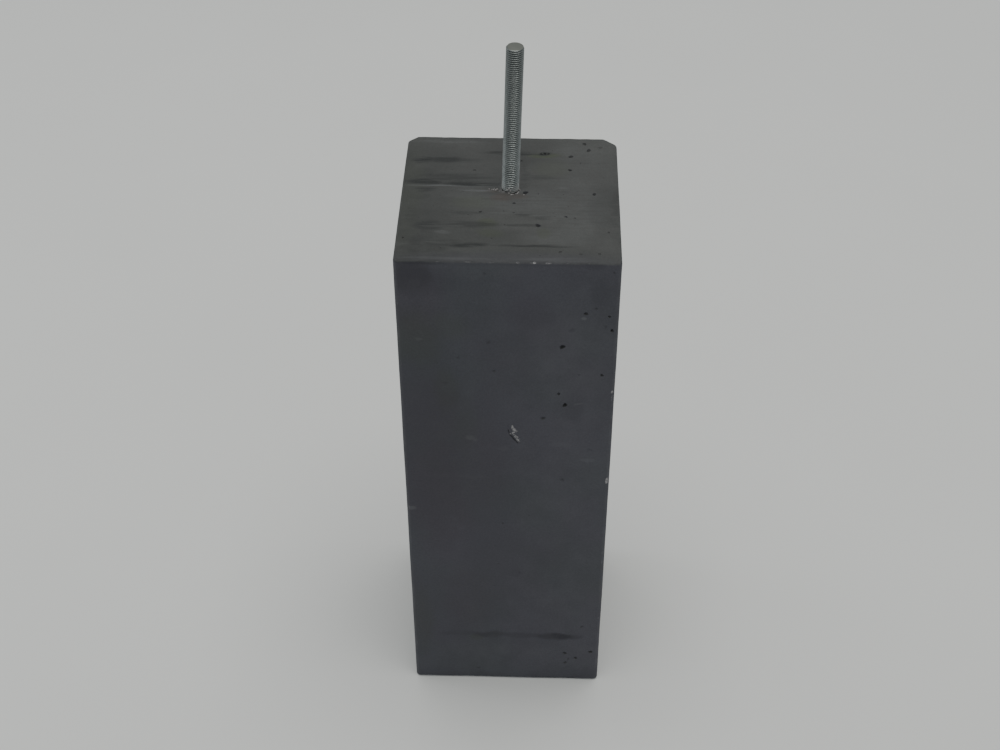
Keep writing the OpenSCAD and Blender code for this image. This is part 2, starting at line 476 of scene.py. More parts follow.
def oval_patch(half_sizes, step):
    """Points of a hexagonal grid within an oval round the origin"""
    rows = int(half_sizes[1] / (step * HEX_ROW)) + 1
    columns = int(half_sizes[0] / step) + 1
    found = []
    for row in range(-rows, rows + 1):
        shift = 0.5 * step * (row % 2)
        found += [(k * step + shift, row * step * HEX_ROW) for k in range(-columns, columns + 1)]
    found = np.array(found)
    return found[np.hypot(*(found / half_sizes).T) <= 1]


def wobble(angle, key):
    """Ragged outline of a pore: 1 on average, as its angle goes round; each key gives another one"""
    reach = 1 + 0.16 * np.sin(2 * angle + key) + 0.09 * np.sin(3 * angle + 2.3 * key)
    return reach + 0.05 * np.sin(5 * angle - key)


# Rings of points round a pore's middle, over its radius
PORE_RINGS = (0.38, 0.68, 0.88, 0.97, 1.04, 1.3, 1.75)


def pore_points(pore, key):
    """Rings of points round a pore, closest at its lip"""
    spokes = 8 + int(5 * pore.radius)
    found = [(0.0, 0.0)]
    for i, share in enumerate(PORE_RINGS):
        for k in range(spokes):
            angle = 2 * math.pi * (k + 0.5 * (i % 2)) / spokes
            reach = pore.radius * share * float(wobble(angle, key))
            found.append((reach * math.cos(angle), reach * math.sin(angle)))
    return np.array(found)


# ---- The block's shape ---------------------------------------------------------------------------

class BlockPatterns:
    """The block's plain form in millimetres, laid flat as patterns that are dense where detail is"""

    # Points round the hole, how far out of its edge each ring of points round it lies, and the gap
    # round the last ring
    HOLE_POINTS = 72
    FOOT_RINGS = (0.0, 0.25, 0.6, 1.0, 1.5, 2.1, 2.9, 4.0, 5.6, 8.0)
    FOOT_GAP = 2.0
    # Gap round the rod where the cement is whole
    HOLE_GAP = 0.05
    # Where it broke away: how far out, at what angle and over what angle, in radians
    BROKEN_GAPS = ((2.4, -1.1, 0.5), (1.5, -2.4, 0.3))
    # Parts that a rim's arc is cut into, how far from the rims the first row of points is, and the
    # least gap between points along a border
    RIM_PARTS = 5
    BESIDE_RIM = 1.4
    BORDER_GAP = 0.15
    # How far from the rim a cap's grid keeps, over a mesh step, and from the bevels besides
    GRID_CLEAR = 0.45
    BEVEL_CLEAR = 0.3
    # Mesh step of a chip, how far its fine mesh goes past it, and the gap round that mesh
    CHIP_STEP = 0.5
    CHIP_MARGIN = 1.2
    CHIP_GAP = 0.3
    # The same for the strip of fine mesh behind a chip, on the top face
    STRIP_STEPS = (0.6, 0.5)
    STRIP_MARGINS = (1.2, 0.9)
    STRIP_GAP = 0.4
    # The same for the scratch: the margins are on its left and below, and on its right and above
    SCRATCH_STEP = 0.36
    SCRATCH_MARGINS = (3.0, 2.2)
    SCRATCH_GAP = 0.25
    # The middle of a chip on an upright front edge, in from the side
    EDGE_INSET = 2
    # Clear space round a pore and between two of them, over their radii
    PORE_CLEAR = 1.8
    PORE_APART = 1.9
    # Scattered pores of the tall faces: radii, and least distance from sides, ends and seam
    FINE_RADII = (0.45, 0.8)
    COARSE_RADII = (0.9, 2.1)
    SIDE_MARGIN = 16
    END_MARGIN = 12
    SEAM_CLEAR = 6
    FRONT_FINE_PORES = 5
    # Scattered pores of the top: how many, radii, and least distance from the sides and the rod
    TOP_FINE_PORES = 40
    TOP_RADII = (0.4, 0.75)
    TOP_MARGIN = 8
    ROD_CLEAR = 12
    # Scattered pores of the underside, likewise
    UNDER_PORES = 14
    UNDER_RADII = (0.9, 2.4)
    UNDER_MARGIN = 14
    # Rows of points across a trowel line, over its width, the mesh step along it, and how far the
    # rows run on past its ends
    RIDGE_ROWS = np.array([-2.2, -1.3, -0.7, -0.3, 0, 0.3, 0.7, 1.3, 2.2])
    RIDGE_STEP = 1.6
    RIDGE_RUN_ON = 3
    # The gap past the ends of the rows, the half width that they take up, over the line's width, and
    # the gap past that
    RIDGE_END_GAP = 1
    RIDGE_SPREAD = 2.5
    RIDGE_SIDE_GAP = 0.6
    # How far a trowel line wanders, and over what length
    RIDGE_SWAY = 1.3
    RIDGE_WAVE = 26

    def __init__(self, block, rod, foot, rod_way):
        self.block = block
        self.half_w = block.width / MM / 2
        self.half_d = block.depth / MM / 2
        self.height = block.height / MM
        self.rim = block.rim / MM
        self.step = block.mesh_step / MM
        self.rod_radius = rod.diameter / MM / 2
        self.cast_length = rod.cast_length / MM
        self.foot = foot
        self.rod_way = rod_way
        self.rand = random.Random(block.seed)
        self.outline = self.make_outline()
        self.rim_run = self.rim * math.pi / 2
        self.wall_height = self.height - 2 * self.rim + 2 * self.rim_run
        self.pores = []
        self.hole = None

    def make_outline(self):
        """The plan, from the middle of the back to the left"""
        w, d = self.half_w, self.half_d
        block = self.block
        left_back, left_side = block.left_bevel_back / MM, block.left_bevel_side / MM
        right_back, right_side = block.right_bevel_back / MM, block.right_bevel_side / MM
        soft, edge, worn = block.bevel_soft / MM, block.front_edge / MM, block.worn_bevel / MM
        corners = [(-w + left_back, d, soft), (-w, d - left_side, soft), (-w, -d, edge)]
        corners += [(w, -d, edge), (w, d - right_side, worn), (w - right_back, d, soft)]
        return PlanOutline((0, d), corners)

    # Flat patterns

    def bend_wall(self, flat):
        """Bends (distance round, distance up) onto the walls and rims: places, normals and bends"""
        place, normal, bend = self.outline.at(flat[:, 0])
        up = flat[:, 1]
        low = np.clip(up / self.rim_run, 0, 1) * math.pi / 2
        high = np.clip((self.wall_height - up) / self.rim_run, 0, 1) * math.pi / 2
        near_top = up > self.wall_height / 2
        angle = np.where(near_top, high, low)
        inset = self.rim * (1 - np.sin(angle))
        rise = self.rim * (1 - np.cos(angle))
        middle = self.rim + up - self.rim_run
        z = np.where(angle < math.pi / 2, np.where(near_top, self.height - rise, rise), middle)
        xy = place - normal * inset[:, None]
        tilt = np.where(near_top, 1, -1) * np.cos(angle)
        normals = np.concatenate([normal * np.sin(angle)[:, None], tilt[:, None]], 1)
        rim_bend = np.sin(2 * angle) * (angle < math.pi / 2)
        return np.concatenate([xy, z[:, None]], 1), normals, np.maximum(bend, rim_bend)

    def bend_cap(self, flat, top):
        """Puts a flat pattern on the top or the underside: places, normals and bends"""
        z = np.full((len(flat), 1), self.height if top else 0.0)
        normal = np.tile([0.0, 0.0, 1.0 if top else -1.0], (len(flat), 1))
        return np.concatenate([flat, z], 1), normal, np.zeros(len(flat))

    def up_from(self, down):
        """Distance up the wall's pattern of a place that is down from the top"""
        return self.wall_height - self.rim_run + self.rim - down

    def chip_place(self, chip):
        """A chip's place on the wall's pattern"""
        w, d = self.half_w, self.half_d
        if chip.edge == "front_rim":
            return self.outline.nearest(chip.at, -d), self.wall_height - self.rim_run / 2
        side = {
            "front_right": (w - self.EDGE_INSET, -d),
            "front_left": (self.EDGE_INSET - w, -d),
            "back_right": (w, d),
            "back_left": (-w, d),
        }
        return self.outline.nearest(*side[chip.edge]), self.up_from(chip.at)

    def border_steps(self):
        """Distances round the outline at which the wall and the caps share points"""
        steps = list(self.outline.steps(self.step))
        for chip in CHIPS:
            if chip.edge == "front_rim":
                s = self.chip_place(chip)[0]
                reach = math.ceil(0.5 * chip.long / self.CHIP_STEP) + 1
                steps += [s + k * self.CHIP_STEP for k in range(-reach, reach + 1)]
        steps = np.unique(np.round(steps, 4))
        return steps[np.concatenate([[True], np.diff(steps) > self.BORDER_GAP])]

    def wall_pattern(self):
        """The walls and rims laid flat, with all their details"""
        across = self.outline.steps(self.step)
        rows = round((self.wall_height - 2 * self.rim_run) / self.step)
        straight = np.linspace(self.rim_run, self.wall_height - self.rim_run, rows + 1)
        arc = np.linspace(0, self.rim_run, self.RIM_PARTS + 1)[1:-1]
        beside = self.rim_run + self.BESIDE_RIM
        ends = [beside, self.wall_height - beside]
        up = np.unique(np.concatenate([arc, straight, self.wall_height - arc, ends]))
        inner = np.array([(s, t) for s in across for t in up])
        seam = (inner[:, 0] == across[0]) | (inner[:, 0] == across[-1])
        border = self.border_steps()
        edges = [(s, t) for s in border for t in (0.0, self.wall_height)]
        points = np.concatenate([inner, np.array(edges)])
        pattern = Pattern(points, np.concatenate([seam, np.ones(len(edges), bool)]))
        self.add_chips(pattern)
        self.add_scratch(pattern)
        self.add_front_pores(pattern)
        self.add_hidden_pores(pattern)
        return pattern

    def cap_pattern(self, top):
        """The top or the underside laid flat, with all its details"""
        place, normal, _ = self.outline.at(self.border_steps()[:-1])
        border = place - normal * self.rim
        reach = max(self.half_w, self.half_d)
        parts = round(2 * reach / self.step)
        line = np.linspace(-reach, reach, parts + 1)
        grid = np.array([(x, y) for x in line for y in line])
        grid = grid[self.inside(grid, self.GRID_CLEAR * self.step)]
        points = np.concatenate([border, grid])
        fixed = np.arange(len(points)) < len(border)
        pattern = Pattern(points, fixed)
        if top:
            self.add_rim_patches(pattern)
            self.add_ridges(pattern)
            self.add_foot(pattern)
            for i, pore in enumerate(TOP_PORES):
                self.add_pore(pattern, pore, (pore.across, pore.along), i * 1.7, "top")
            self.scatter_top(pattern)
        else:
            self.scatter_under(pattern)
        return pattern

    def inside(self, flat, margin):
        """Which places lie inside the rim, by more than a margin"""
        w, d = self.half_w - self.rim - margin, self.half_d - self.rim - margin
        good = (np.abs(flat[:, 0]) < w) & (np.abs(flat[:, 1]) < d)
        bevels = [(-1, self.block.left_bevel_back, self.block.left_bevel_side)]
        bevels += [(1, self.block.right_bevel_back, self.block.right_bevel_side)]
        for side, back, along in bevels:
            back, along = back / MM, along / MM
            normal = np.array([side * along, back]) / math.hypot(along, back)
            inset = (flat - (side * (self.half_w - back), self.half_d)) @ normal
            good &= inset < -(self.rim + margin) - self.BEVEL_CLEAR
        return good

    # Details on the patterns

    def add_pore(self, pattern, pore, centre, key, face):
        """Makes room for a pore, and notes it so that worn() can sink it; key shapes its outline"""
        centre = np.array(centre, float)
        clear = self.PORE_CLEAR * pore.radius
        if face != "wall" and not self.inside(centre[None], clear)[0]:
            return
        pattern.add_round(pore_points(pore, key) + centre, centre, clear)
        self.pores.append({"pore": pore, "flat": centre, "key": key, "face": face})

    def add_front_pores(self, pattern):
        """The pores that are listed for the front face"""
        for i, pore in enumerate(FRONT_PORES):
            s = self.outline.nearest(pore.across, -self.half_d)
            self.add_pore(pattern, pore, (s, self.up_from(pore.along)), i * 1.3 + 0.4, "wall")

    def add_hidden_pores(self, pattern):
        """Scatters pores on the faces that the lists leave out, and fine ones on all four"""
        w, d = self.half_w, self.half_d
        for middle, half in [((w, 0), d), ((-w, 0), d), ((0, d), w), ((0, -d), w)]:
            front, back = middle[1] < 0, middle[1] > 0
            centre = self.outline.nearest(*middle)
            coarse = 0 if front else self.block.hidden_pores
            fine = self.FRONT_FINE_PORES if front else self.block.fine_pores
            for k in range(coarse + fine):
                radius = self.rand.uniform(*(self.COARSE_RADII if k < coarse else self.FINE_RADII))
                side = self.rand.uniform(-1, 1) * (half - self.SIDE_MARGIN)
                up = self.rand.uniform(self.END_MARGIN, self.wall_height - self.END_MARGIN)
                # The two ends of the pattern meet down the middle of the back
                if back and abs(side) < self.SEAM_CLEAR:
                    side += 2 * self.SEAM_CLEAR
                spot = (centre + side) % self.outline.length
                pore = Pore(0, 0, radius, radius * self.rand.uniform(0.5, 1.1))
                if self.clear_of_pores(spot, up, radius, "wall"):
                    self.add_pore(pattern, pore, (spot, up), self.rand.uniform(0, 6), "wall")

    def clear_of_pores(self, u, v, radius, face):
        """Whether a new pore would stand well apart from those there are"""
        for other in self.pores:
            if other["face"] == face:
                apart = math.hypot(other["flat"][0] - u, other["flat"][1] - v)
                if apart < self.PORE_APART * (radius + other["pore"].radius):
                    return False
        return True

    def scatter_spot(self, margin):
        """A place at random on the top or the underside"""
        x = self.rand.uniform(-1, 1) * (self.half_w - margin)
        return x, self.rand.uniform(-1, 1) * (self.half_d - margin)

    def scatter_top(self, pattern):
        """Fine pores all over the top, but not close to the rod"""
        for _ in range(self.TOP_FINE_PORES):
            x, y = self.scatter_spot(self.TOP_MARGIN)
            radius = self.rand.uniform(*self.TOP_RADII)
            from_rod = math.hypot(x - self.foot[0], y - self.foot[1]) - self.rod_radius
            if self.clear_of_pores(x, y, radius, "top") and from_rod >= self.ROD_CLEAR:
                pore = Pore(x, y, radius, radius * self.rand.uniform(0.4, 1.0))
                self.add_pore(pattern, pore, (x, y), self.rand.uniform(0, 6), "top")

    def scatter_under(self, pattern):
        """Pores all over the underside"""
        for _ in range(self.UNDER_PORES):
            x, y = self.scatter_spot(self.UNDER_MARGIN)
            radius = self.rand.uniform(*self.UNDER_RADII)
            if self.clear_of_pores(x, y, radius, "under"):
                pore = Pore(x, y, radius, radius)
                self.add_pore(pattern, pore, (x, y), self.rand.uniform(0, 6), "under")

    def add_chips(self, pattern):
        """Dense points where edges are chipped"""
        for chip in CHIPS:
            centre = np.array(self.chip_place(chip))
            lies = chip.edge == "front_rim"
            sizes = np.array([chip.long, chip.width] if lies else [chip.width, chip.long])
            sizes = 0.5 * sizes + self.CHIP_MARGIN
            patch = oval_patch(sizes, self.CHIP_STEP) + centre
            patch = patch[patch[:, 1] < self.wall_height - self.CHIP_STEP / 2]
            pattern.add_round(patch, centre, sizes + self.CHIP_GAP)

    def add_rim_patches(self, pattern):
        """Dense points on the top face behind the chips of the front rim"""
        edge = self.rim - self.half_d
        for chip in CHIPS:
            if chip.edge == "front_rim":
                reach = 0.5 * np.array([chip.long, chip.width]) + self.STRIP_MARGINS
                across, back = self.STRIP_STEPS
                xs = np.arange(-reach[0], reach[0], across)
                ys = np.arange(back, reach[1], back)
                patch = np.array([(chip.at + x, edge + y) for x in xs for y in ys])
                pattern.add_round(patch, (chip.at, edge), reach + self.STRIP_GAP)

    def add_scratch(self, pattern):
        """Dense points where the front face is scratched"""
        points = [point[:2] for stroke in SCRATCH for point in stroke]
        places = [(self.outline.nearest(x, -self.half_d), self.up_from(down)) for x, down in points]
        low = np.min(places, 0) - self.SCRATCH_MARGINS[0]
        high = np.max(places, 0) + self.SCRATCH_MARGINS[1]
        us = np.arange(low[0], high[0], self.SCRATCH_STEP)
        vs = np.arange(low[1], high[1], self.SCRATCH_STEP)
        patch = np.array([(u, v) for u in us for v in vs])
        past_low = (pattern.points > low - self.SCRATCH_GAP).all(1)
        pattern.add(patch, past_low & (pattern.points < high + self.SCRATCH_GAP).all(1))

    def add_ridges(self, pattern):
        """Rows of points along the trowel lines"""
        for ridge in TOP_RIDGES:
            start, end = ridge.start - self.RIDGE_RUN_ON, ridge.end + self.RIDGE_RUN_ON
            xs = np.arange(start, end, self.RIDGE_STEP)
            ys = ridge.width * self.RIDGE_ROWS
            patch = np.array([(x, self.ridge_line(ridge, x) + y) for x in xs for y in ys])
            free = pattern.points
            line = np.array([self.ridge_line(ridge, x) for x in free[:, 0]])
            past, beside = self.RIDGE_END_GAP, self.RIDGE_SPREAD * ridge.width + self.RIDGE_SIDE_GAP
            inside = (free[:, 0] > start - past) & (free[:, 0] < end + past)
            inside &= np.abs(free[:, 1] - line) < beside
            pattern.add(patch, inside)

    @staticmethod
    def ridge_line(ridge, x):
        """How a trowel line wanders from front to back"""
        sway = noise.noise(Vector((x / BlockPatterns.RIDGE_WAVE, ridge.along, 0)))
        return ridge.along + BlockPatterns.RIDGE_SWAY * sway

    def foot_radius(self, angle):
        """Radius of the hole round the rod: open where cement broke away in front and on the left"""
        gap = sum(out * np.exp(-(((angle - at) / over) ** 2)) for out, at, over in self.BROKEN_GAPS)
        return self.rod_radius + self.HOLE_GAP + gap

    def add_foot(self, pattern):
        """Rings of points round the rod's foot, the first of which is the hole's edge"""
        centre = np.array(self.foot[:2])
        angles = np.arange(self.HOLE_POINTS) * 2 * math.pi / self.HOLE_POINTS
        angles = (angles + math.pi) % (2 * math.pi) - math.pi
        rings = [self.foot_radius(angles) + extra for extra in self.FOOT_RINGS]
        points = [np.stack([r * np.cos(angles), r * np.sin(angles)], 1) + centre for r in rings]
        clear = self.rod_radius + self.FOOT_RINGS[-1] + self.FOOT_GAP
        pattern.add_round(np.concatenate(points), centre, clear)
        self.hole = points[0]


class BlockShape(BlockPatterns):
    """The block's surface in millimetres: the plain form, then what casting and wear did to it"""

    FACE_SHARP = math.radians(38)
    # A triangle whose middle is no further than this inside the hole's edge stays
    HOLE_SLACK = 0.02
    # Depths of the rings down the hole, and the depth over which a broken gap closes
    HOLE_RINGS = (1.0, 3.0, 8.0)
    GAP_FADE = 2.0
    # What lies nearer than this to the rod's foot, seen from above, and more than the skin's depth
    # from the top and the underside, is in the hole
    HOLE_REACH = 12
    HOLE_SKIN = 0.5
    # Vertices of two sheets in one cell of this size are one; the odd shift keeps round places off
    # the borders between cells
    JOIN = 0.001
    CELL_SHIFT = 0.137
    # Sizes of the mould's slow waves, of dents and of nibbled edges
    WAVE = 55
    DENT = 13
    NIBBLE = 5.5
    # Normals whose cosine is over this belong to one face; pores reach a little further round
    SAME_FACE = 0.9
    PORE_FACE = 0.8
    # How far out the cement lip goes, where it is highest, and how fast it and its pale break fade
    LIP_REACH = 9
    LIP_SIDE = math.radians(185)
    LIP_FADE = 1.5
    PALE_FADE = 0.9
    # How long a trowel line's ends take to fade
    RIDGE_FADE = 8

    def surface(self):
        """Vertices, normals, bends and triangles of the plain form with its rod hole"""
        flat, faces = self.wall_pattern().triangles()
        sheets = [(*self.bend_wall(flat), faces)]
        flat, faces = self.cap_pattern(False).triangles()
        sheets.append((*self.bend_cap(flat, False), faces[:, ::-1]))
        flat, faces = self.cap_pattern(True).triangles()
        middle = flat[faces].mean(1) - self.foot[:2]
        edge = self.foot_radius(np.arctan2(middle[:, 1], middle[:, 0]))
        keep = np.hypot(*middle.T) > edge - self.HOLE_SLACK
        sheets.append((*self.bend_cap(flat, True), faces[keep]))
        sheets.append(self.hole_sheet())
        return self.joined(sheets)

    def joined(self, sheets):
        """One surface from sheets of places, normals, bends and triangles that share their borders"""
        starts = np.cumsum([0] + [len(sheet[0]) for sheet in sheets])
        triangles = np.concatenate([sheet[3] + start for sheet, start in zip(sheets, starts)])
        places, normals, bends = (np.concatenate([sheet[k] for sheet in sheets]) for k in range(3))
        cells = np.round(places / self.JOIN + self.CELL_SHIFT)
        _, first, back = np.unique(cells, axis=0, return_index=True, return_inverse=True)
        triangles = back.reshape(-1)[triangles]
        whole = (triangles != np.roll(triangles, 1, axis=1)).all(1)
        return places[first], normals[first], bends[first], triangles[whole]

    def hole_sheet(self):
        """The wall and end of the hole that holds the rod"""
        around = len(self.hole)
        top = np.concatenate([self.hole, np.full((around, 1), self.height)], 1)
        drops = (*self.HOLE_RINGS, self.cast_length)
        axis = np.array([*self.foot[:2], self.height])
        angles = np.arctan2(self.hole[:, 1] - self.foot[1], self.hole[:, 0] - self.foot[0])
        out = np.stack([np.cos(angles), np.sin(angles), np.zeros(around)], 1)
        snug = self.rod_radius + self.HOLE_GAP
        rings = [top]
        for drop in drops:
            reach = snug + (self.foot_radius(angles) - snug) * math.exp(-drop / self.GAP_FADE)
            rings.append(axis - self.rod_way * drop + out * reach[:, None])
        places = np.concatenate(rings + [axis[None] - self.rod_way * self.cast_length])
        faces = []
        for r in range(len(drops)):
            for k in range(around):
                a, b = r * around + k, r * around + (k + 1) % around
                faces += [(a, a + around, b), (b, a + around, b + around)]
        last = len(drops) * around
        faces += [(last + k, len(places) - 1, last + (k + 1) % around) for k in range(around)]
        normals = np.concatenate([-out] * len(rings) + [[[0.0, 0.0, 1.0]]])
        normals[:around] = (0.0, 0.0, 1.0)
        return places, normals, np.zeros(len(places)), np.array(faces)

    # What casting and wear did

    def worn(self):
        """The finished surface: vertices, triangles, and for each vertex its painted dust and shade,
        how fresh and how bent it is
        """
        place, normal, bend, triangles = self.surface()
        buried = np.hypot(*(place[:, :2] - self.foot[:2]).T) < self.HOLE_REACH
        buried &= (place[:, 2] < self.height - self.HOLE_SKIN) & (place[:, 2] > self.HOLE_SKIN)
        hollow = np.zeros(len(place))
        fresh = np.zeros(len(place))
        inward = self.waves(place, bend)
        for entry in self.pores:
            self.sink_pore(entry, place, normal, inward, hollow)
        self.cut_scratch(place, normal, inward, hollow, fresh)
        inward -= self.ridges(place, normal)
        inward -= self.cement_lip(place, normal, fresh)
        inward[buried] = 0.0
        # The rod's hole: painted shade at full strength
        hollow[buried] = 1.0
        moved = place - normal * inward[:, None]
        for chip in CHIPS:
            self.break_chip(chip, place, moved, fresh)
        return moved, triangles, hollow, fresh, bend

    def waves(self, place, bend):
        """How far in the mould's slow waves and the wear along edges put each vertex"""
        amount = self.block.unevenness / MM
        wear = self.block.edge_wear / MM
        found = np.zeros(len(place))
        for i, p in enumerate(place):
            slow = noise.noise(Vector(p / self.WAVE))
            dent = noise.noise(Vector(p / self.DENT) + Vector((7, 3, 1)))
            nibble = noise.noise(Vector(p / self.NIBBLE) + Vector((1, 9, 4)))
            found[i] = amount * (1.0 + slow + 0.3 * dent)
            found[i] += bend[i] * wear * (0.45 + 0.5 * dent + max(0.0, nibble) * 1.1)
        return found

    def sink_pore(self, entry, place, normal, inward, hollow):
        """Sinks a bowl, drawn in the directions that a short step each way along its face gives"""
        pore, flat, step = entry["pore"], entry["flat"], 0.01
        ends = np.array([flat, flat + (step, 0), flat + (0, step)])
        if entry["face"] == "wall":
            spots, ways, _ = self.bend_wall(ends)
        else:
            spots, ways, _ = self.bend_cap(ends, entry["face"] == "top")
        close = (np.abs(place - spots[0]) < 2 * pore.radius).all(1)
        near = np.nonzero(close & (normal @ ways[0] > self.PORE_FACE))[0]
        off = place[near] - spots[0]
        u = off @ (spots[1] - spots[0]) / step
        v = off @ (spots[2] - spots[0]) / step
        share = np.hypot(u, v) / (pore.radius * wobble(np.arctan2(v, u), entry["key"]))
        bowl = pore.depth * np.sqrt(np.clip(1 - share**2, 0, 1))
        inward[near] += bowl
        # Painted dust and shade in the pore, stronger where it is deep
        dark = np.clip(1.25 - share, 0, 1) * min(1.0, pore.depth / 2)
        hollow[near] = np.maximum(hollow[near], dark)

    @staticmethod
    def from_strokes(flat, strokes):
        """How far places are from the nearest stroke, where 1 is its side"""
        share = np.full(len(flat), 9.0)
        for stroke in strokes:
            for a, b in zip(np.array(stroke[:-1]), np.array(stroke[1:])):
                run = (b - a)[:2]
                t = np.clip((flat - a[:2]) @ run / (run @ run), 0, 1)
                apart = np.hypot(*(flat - a[:2] - t[:, None] * run).T)
                share = np.minimum(share, apart / (a[2] + t * (b[2] - a[2])))
        return share

    def cut_scratch(self, place, normal, inward, hollow, fresh):
        """Ragged grooves with torn pale concrete in them, and a deeper groove along one side with
        painted shadow in it
        """
        on_front = (normal[:, 1] < -self.SAME_FACE) & (place[:, 1] < -self.half_d + 1)
        near = np.nonzero(on_front)[0]
        flat = np.stack([place[near, 0], self.height - place[near, 2]], 1)
        ends = np.array([point[:2] for stroke in SCRATCH + SCRATCH_SIDE for point in stroke])
        close = (flat > ends.min(0) - 3).all(1) & (flat < ends.max(0) + 3).all(1)
        near, flat = near[close], flat[close]
        ragged = np.array([1 + 1.1 * noise.noise(Vector((x / 1.4, y / 1.4, 0))) for x, y in flat])
        mottled = np.array([0.85 + 1.5 * noise.noise(Vector((x / 1.7, y / 1.7, 7))) for x, y in flat])
        torn = self.from_strokes(flat, SCRATCH) / ragged
        side = self.from_strokes(flat, SCRATCH_SIDE) / ragged
        inward[near] += SCRATCH_DEPTH * np.clip(1 - torn**2, 0, 1) * ragged
        inward[near] += 1.3 * SCRATCH_DEPTH * np.clip(1 - side**2, 0, 1)
        pale = np.clip(1.6 - 1.5 * torn, 0, 1) * np.clip(mottled, 0.1, 1)
        fresh[near] = np.maximum(fresh[near], pale)
        # Painted shadow along the deeper side groove, but not on the torn pale concrete
        hollow[near] = np.maximum(hollow[near], np.clip(1.2 - side, 0, 0.8) * (1 - pale))

    def ridges(self, place, normal):
        """Height of the trowel lines on the top face"""
        raised = np.zeros(len(place))
        top = np.nonzero(normal[:, 2] > self.SAME_FACE)[0]
        for ridge in TOP_RIDGES:
            x = place[top, 0]
            ends = np.clip((x - ridge.start) / self.RIDGE_FADE, 0, 1)
            ends *= np.clip((ridge.end - x) / self.RIDGE_FADE, 0, 1)
            on = np.nonzero(ends > 0)[0]
            line = np.array([self.ridge_line(ridge, v) for v in x[on]])
            spots = [Vector((v / 9, ridge.along, 5)) for v in x[on]]
            patchy = np.array([0.75 + 0.6 * noise.noise(spot) for spot in spots])
            off = (place[top[on], 1] - line) / ridge.width
            raised[top[on]] += ridge.height * ends[on] * patchy * np.exp(-(off**2))
        return raised

    def cement_lip(self, place, normal, fresh):
        """Height of the cement that crept up round the rod, pale where it was broken"""
        off = place[:, :2] - self.foot[:2]
        angle = np.arctan2(off[:, 1], off[:, 0])
        out = np.hypot(*off.T) - self.foot_radius(angle)
        on_top = (normal[:, 2] > self.SAME_FACE) & (place[:, 2] > self.height - 1)
        near = np.nonzero(on_top & (out < self.LIP_REACH))[0]
        raised = np.zeros(len(place))
        for i in near:
            lumpy = 0.8 + 0.9 * noise.noise(Vector(place[i] / 2.6) + Vector((2, 5, 8)))
            left = 1 + 0.7 * math.cos(angle[i] - self.LIP_SIDE)
            away = max(0.0, out[i])
            raised[i] = self.block.lip / MM * lumpy * left * math.exp(-away / self.LIP_FADE)
            broken = min(1.0, max(0.0, 1.4 * lumpy - 0.7))
            fresh[i] = 0.5 * broken * math.exp(-away / self.PALE_FADE)
        return raised

    def break_chip(self, chip, place, moved, fresh):
        """Scoops a ragged oval bowl out of an edge"""
        spot, way, _ = self.bend_wall(np.array([self.chip_place(chip)]))
        along = np.array([1.0, 0, 0] if chip.edge == "front_rim" else [0, 0, 1.0])
        radius = (chip.width**2 / 4 + chip.depth**2) / (2 * chip.depth)
        start = moved[np.argmin(np.linalg.norm(place - spot[0], axis=1))]
        centre = start + way[0] * (radius - chip.depth)
        near = np.nonzero((np.abs(place - spot[0]) < 0.6 * chip.long + 1).all(1))[0]
        for i in near:
            off = moved[i] - centre
            run = float(off @ along)
            side = off - run * along
            reach = radius * (1 + 0.05 * noise.noise(Vector(place[i] / 0.9)))
            room = reach**2 - (run * chip.width / chip.long) ** 2
            size = float(np.linalg.norm(side))
            if room > 0 and size < math.sqrt(room):
                moved[i] = centre + run * along + side * math.sqrt(room) / size
                mottled = 1 + 0.9 * noise.noise(Vector(place[i] / 1.3))
                fresh[i] = min(1.0, (chip.depth / FRESH_DEPTH) ** 3 * mottled)


def rod_axis():
    """The rod's foot at the block's top and the way it points, in millimetres"""
    way = Vector(ROD_MOUNT["axis"]).normalized()
    point = Vector(ROD_MOUNT["pos_m"])
    foot = point - way * ((point.z - BLOCK_HIGH.z) / way.z)
    return np.array(foot) / MM, np.array(way)


def smooth_object(mesh, sharp_angle=None):
    """A new object from a mesh, smooth but for edges over the angle"""
    mesh.shade_smooth()
    if sharp_angle:
        mesh.set_sharp_from_angle(angle=sharp_angle)
    piece = bpy.data.objects.new(mesh.name, mesh)
    bpy.context.scene.collection.objects.link(piece)
    return piece


def mesh_object(name, vertices, faces, sharp_angle=None):
    """A new smooth object from vertices in millimetres"""
    mesh = bpy.data.meshes.new(name)
    mesh.from_pydata((np.asarray(vertices) * MM).tolist(), [], np.asarray(faces).tolist())
    mesh.validate()
    return smooth_object(mesh, sharp_angle)


def write_attribute(piece, name, values):
    """Gives each vertex a number that the piece's material reads"""
    made = piece.data.attributes.new(name, "FLOAT", "POINT")
    made.data.foreach_set("value", np.asarray(values, np.float32))


# ---- The threaded rod's shape --------------------------------------------------------------------

# One pitch of the thread: share of the pitch along the rod, and share of the thread's depth below
# the crest
THREAD_PROFILE = [
    (-0.10, 0.06), (-0.05, 0.0), (0.05, 0.0), (0.10, 0.06), (0.41, 0.94), (0.50, 1.0), (0.59, 0.94),
]
# Depth of the thread over its pitch
THREAD_DEPTH = 0.6134


